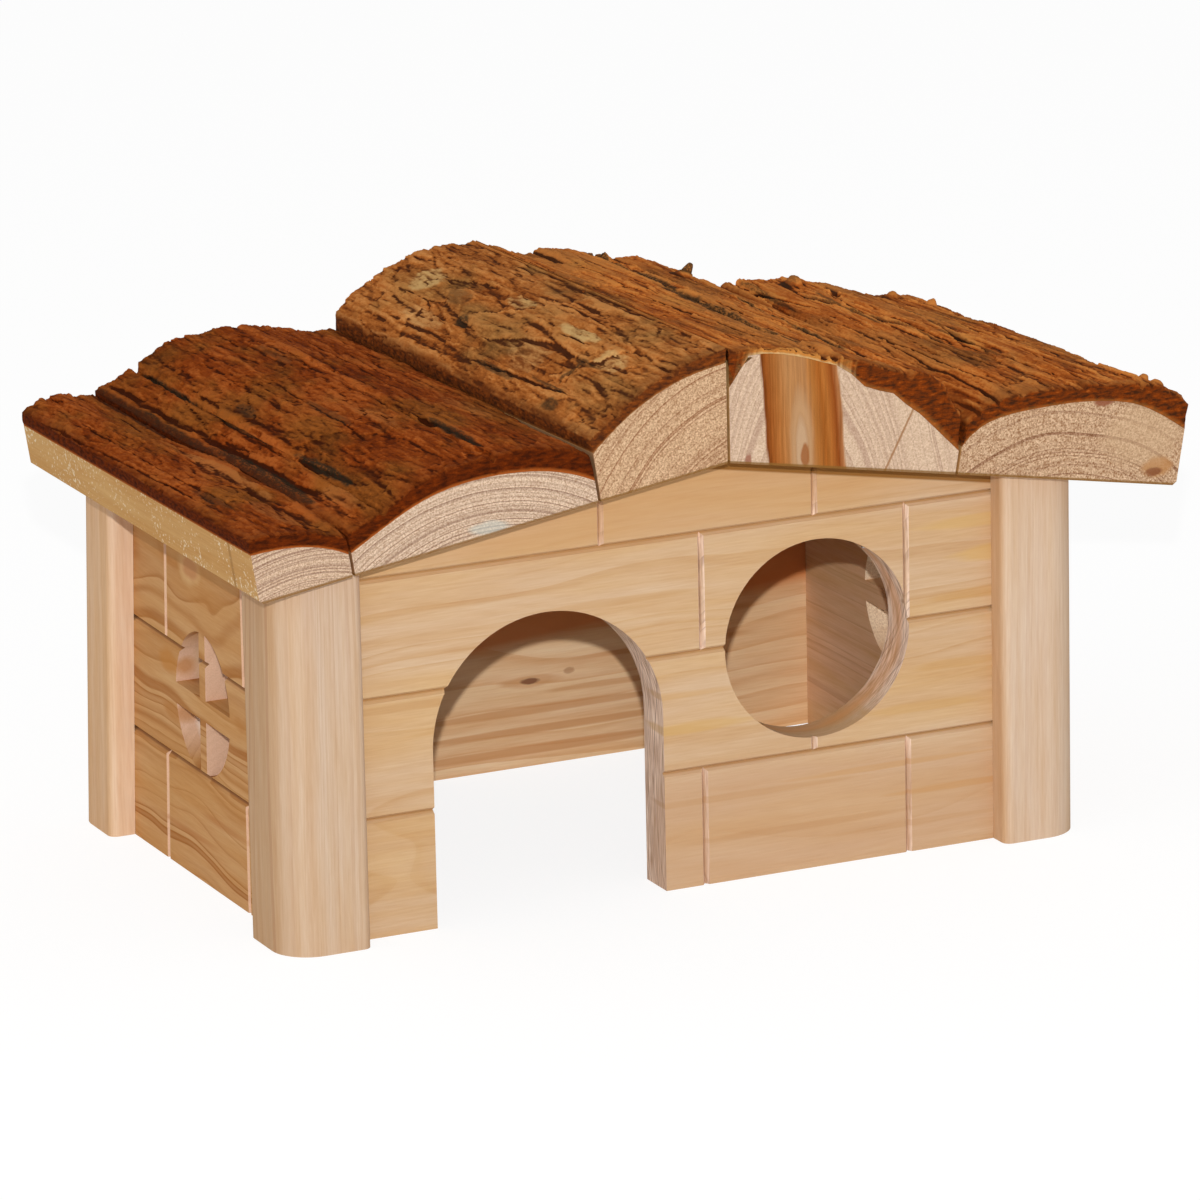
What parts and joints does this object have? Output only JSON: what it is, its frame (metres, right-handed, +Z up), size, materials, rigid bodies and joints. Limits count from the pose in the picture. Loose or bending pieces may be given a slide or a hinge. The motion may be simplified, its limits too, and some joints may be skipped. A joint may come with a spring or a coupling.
{
  "type": "hamster house",
  "caption": "Free-standing wooden hideout for a small rodent: block-grooved pine walls, arched door, round window, barred end windows, and a low gabled roof of bark-faced log slabs.",
  "frame": {"origin": "on the ground that the house stands on, under the middle of the roof's ridge", "axes": "+X along the front, from the door's side to the round window's side; +Y from the front to the back; +Z up"},
  "size_m": [0.2038, 0.1198, 0.1115],
  "materials": {
    "panel_pine": "bare planed pine, grain along the panel",
    "moulding_pine": "bare planed pine moulding, upright grain",
    "slab_wood": "bare sawn softwood, end grain in front and behind",
    "bark_dark": "rough red-brown bark",
    "bark_tan": "rough ochre bark with loose plates",
    "bark_orange": "rough flaky orange-brown bark",
    "brad_steel": "plain steel"
  },
  "bodies": {
    "root": {"front_panel": "panel_pine", "back_panel": "panel_pine", "left_end_panel": "panel_pine", "right_end_panel": "panel_pine", "corner_moulding_front_left": "moulding_pine", "corner_moulding_front_right": "moulding_pine", "corner_moulding_back_left": "moulding_pine", "corner_moulding_back_right": "moulding_pine", "roof_slab_1": "slab_wood", "roof_bark_1": "bark_dark", "roof_slab_2": "slab_wood", "roof_bark_2": "bark_dark", "roof_slab_3": "slab_wood", "roof_bark_3": "bark_tan", "roof_slab_4": "slab_wood", "roof_bark_4": "bark_orange", "roof_slab_5": "slab_wood", "roof_bark_5": "bark_orange", "roof_brads": "brad_steel", "wall_brads": "brad_steel"}
  },
  "joints": []
}
